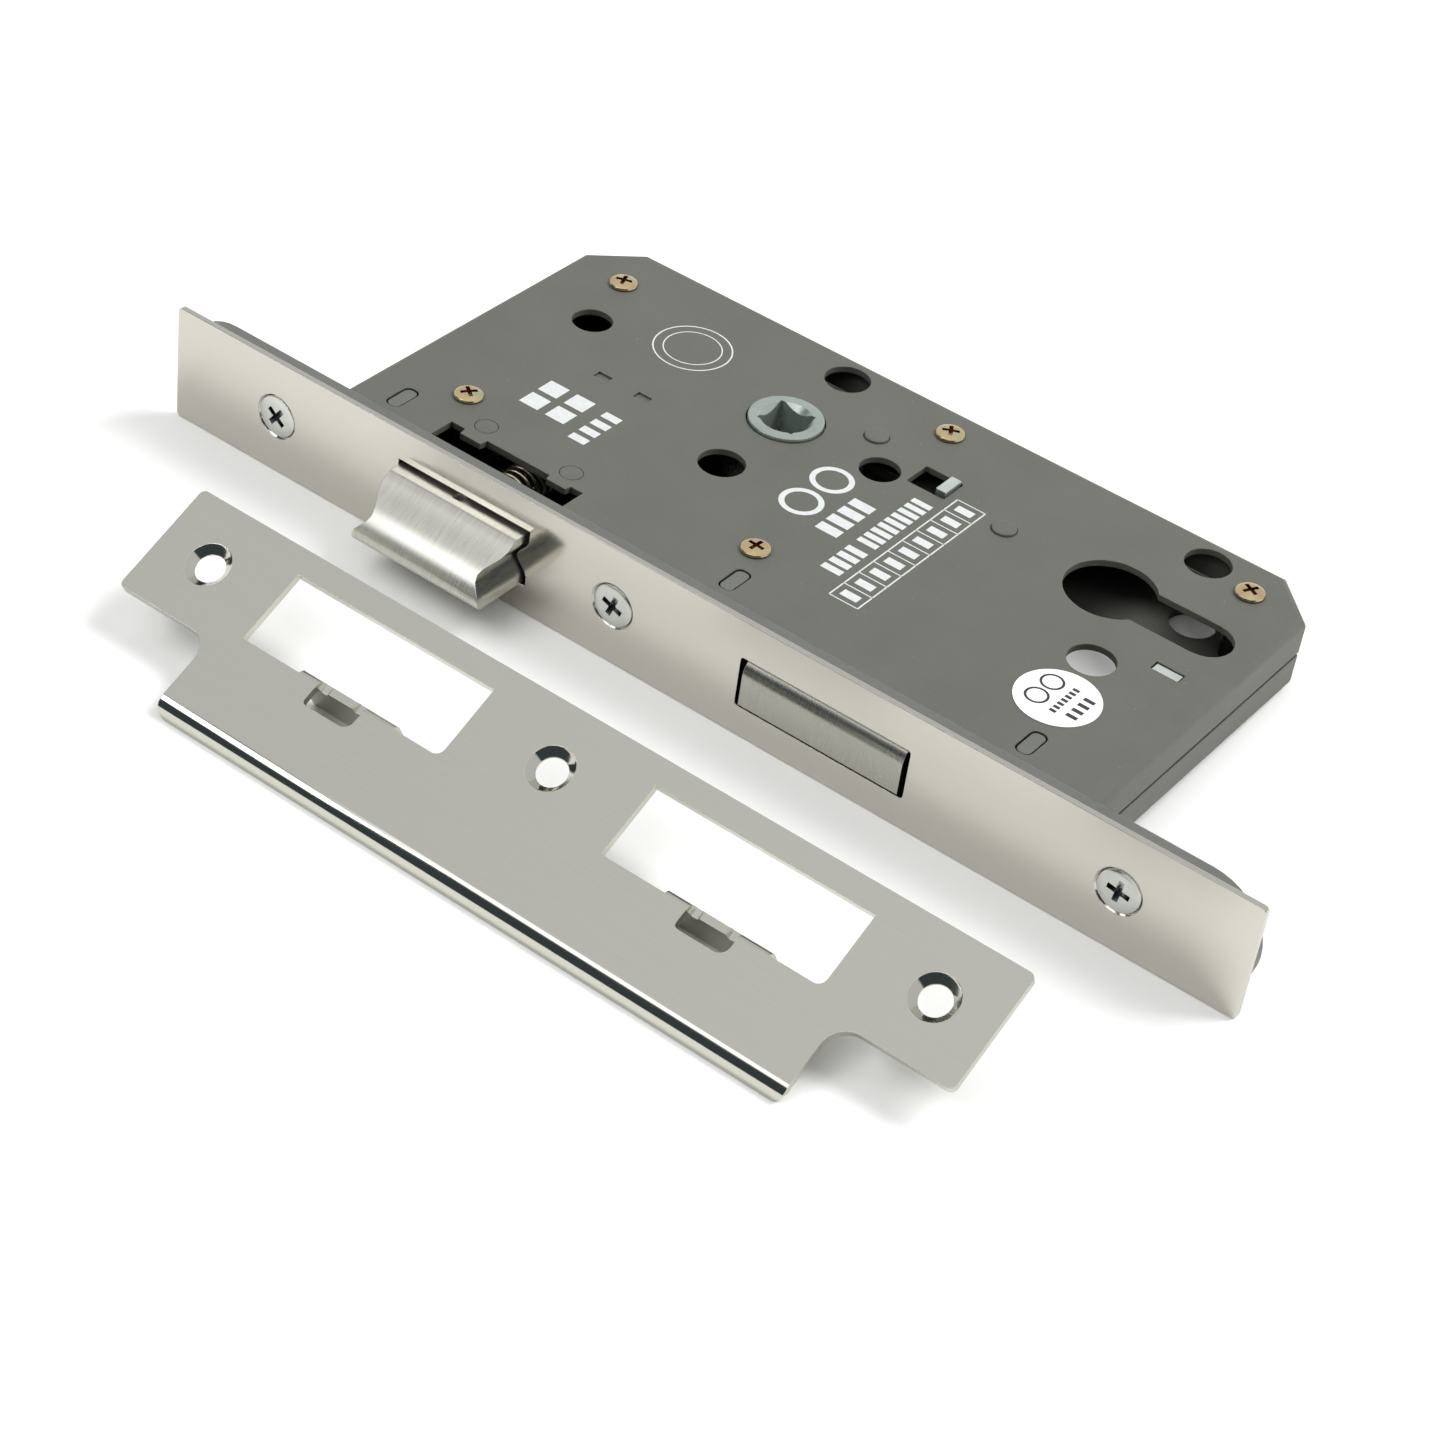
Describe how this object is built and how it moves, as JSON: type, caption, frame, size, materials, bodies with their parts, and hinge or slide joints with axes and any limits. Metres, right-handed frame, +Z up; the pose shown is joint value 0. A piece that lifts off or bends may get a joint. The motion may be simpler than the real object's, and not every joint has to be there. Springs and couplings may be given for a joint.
{
  "type": "mortise sash lock with strike plate",
  "caption": "Mortise sash lock for a profile cylinder: satin steel forend, grey case, bevelled latch, deadbolt and sprung follower, with a separate lipped strike plate.",
  "frame": {"origin": "centre of the forend's outer face", "axes": "+X along the forend from the latch end to the deadbolt end, +Y away from the forend towards the back of the case, +Z up off the table; the lock leans back 3 degrees about X because it lies on the forend's lower edge and the case's rear edge"},
  "size_m": [0.235, 0.1521, 0.0241],
  "materials": {
    "case_paint": "satin grey paint on folded steel sheet",
    "cover_paint": "satin grey paint on folded steel sheet",
    "inner_forend_paint": "satin grey paint",
    "faceplate_steel": "satin polished stainless steel",
    "faceplate_screw_zinc": "bright zinc plated",
    "case_screw_zinc": "yellow zinc passivated steel; brass stands in for the colour",
    "pressing_zinc": "dull zinc plated pressings",
    "follower_casting": "zinc plated sintered steel",
    "latch_steel": "brushed, grain across the latch",
    "bolt_steel": "brushed nickel-plated steel",
    "spring_steel": "oiled spring wire",
    "strike_steel": "polished stainless steel",
    "sticker_paper": "blank white paper label"
  },
  "bodies": {
    "lock_case": {"case_body": "case_paint", "case_cover": "cover_paint", "inner_forend": "inner_forend_paint", "faceplate": "faceplate_steel", "faceplate_screw_top": "faceplate_screw_zinc", "faceplate_screw_middle": "faceplate_screw_zinc", "faceplate_screw_bottom": "faceplate_screw_zinc", "case_screw_1": "case_screw_zinc", "case_screw_2": "case_screw_zinc", "case_screw_3": "case_screw_zinc", "case_screw_4": "case_screw_zinc", "case_screw_5": "case_screw_zinc", "case_pillar_1": "pressing_zinc", "case_pillar_2": "pressing_zinc", "case_pillar_3": "pressing_zinc", "case_pillar_4": "pressing_zinc", "case_pillar_5": "pressing_zinc", "latch_spring": "spring_steel", "latch_guide": "pressing_zinc", "latch_rivet_a": "cover_paint", "latch_rivet_b": "cover_paint", "follower_return_spring": "spring_steel", "spring_post": "pressing_zinc", "change_guide_pin": "cover_paint", "lever_pivot_pin": "cover_paint", "cylinder_stop_bracket": "pressing_zinc", "check_sticker": "sticker_paper", "bolt_detent_leaf": "spring_steel", "detent_bracket": "pressing_zinc"},
    "latch": {"latch_head": "latch_steel", "latch_tail": "pressing_zinc"},
    "follower": {"follower_hub": "follower_casting", "follower_arm": "follower_casting"},
    "deadbolt": {"deadbolt_head": "bolt_steel", "deadbolt_tail": "pressing_zinc"},
    "throw_lever_body": {"throw_lever": "pressing_zinc"},
    "change_slide_body": {"change_slide": "pressing_zinc"},
    "strike": {"strike_plate": "strike_steel"}
  },
  "joints": [
    {"name": "follower_turn", "type": "hinge", "parent": "lock_case", "child": "follower", "pos_m": [-0.02, 0.05992, -0.00313], "axis": [0, -0.0522, -0.9986], "range_deg": [0, 26]},
    {"name": "latch_retract", "type": "slide", "parent": "lock_case", "child": "latch", "axis": [0, 0.9986, -0.0522], "range_m": [0, 0.012], "stiffness_N_per_m": 120, "springref_m": -0.012, "deforming": ["latch_spring"]},
    {"name": "deadbolt_throw", "type": "slide", "parent": "lock_case", "child": "deadbolt", "axis": [0, -0.9986, 0.0522], "range_m": [0, 0.02]},
    {"name": "throw_lever_turn", "type": "hinge", "parent": "lock_case", "child": "throw_lever_body", "pos_m": [0.0283, 0.06112, -0.00319], "axis": [0, 0.0522, 0.9986], "range_deg": [0, 60.5]},
    {"name": "change_slide_move", "type": "slide", "parent": "lock_case", "child": "change_slide_body", "axis": [-1, 0, 0], "range_m": [0, 0.005], "stiffness_N_per_m": 60, "springref_m": -0.004},
    {"name": "strike_lift", "type": "slide", "parent": "lock_case", "child": "strike", "axis": [0, 0, 1], "range_m": [0, 0.05]}
  ],
  "couplings": [
    {"joint": "follower_turn", "follows": "latch_retract", "rad_per_m": 37.815},
    {"joint": "throw_lever_turn", "follows": "deadbolt_throw", "rad_per_m": 52.36}
  ]
}
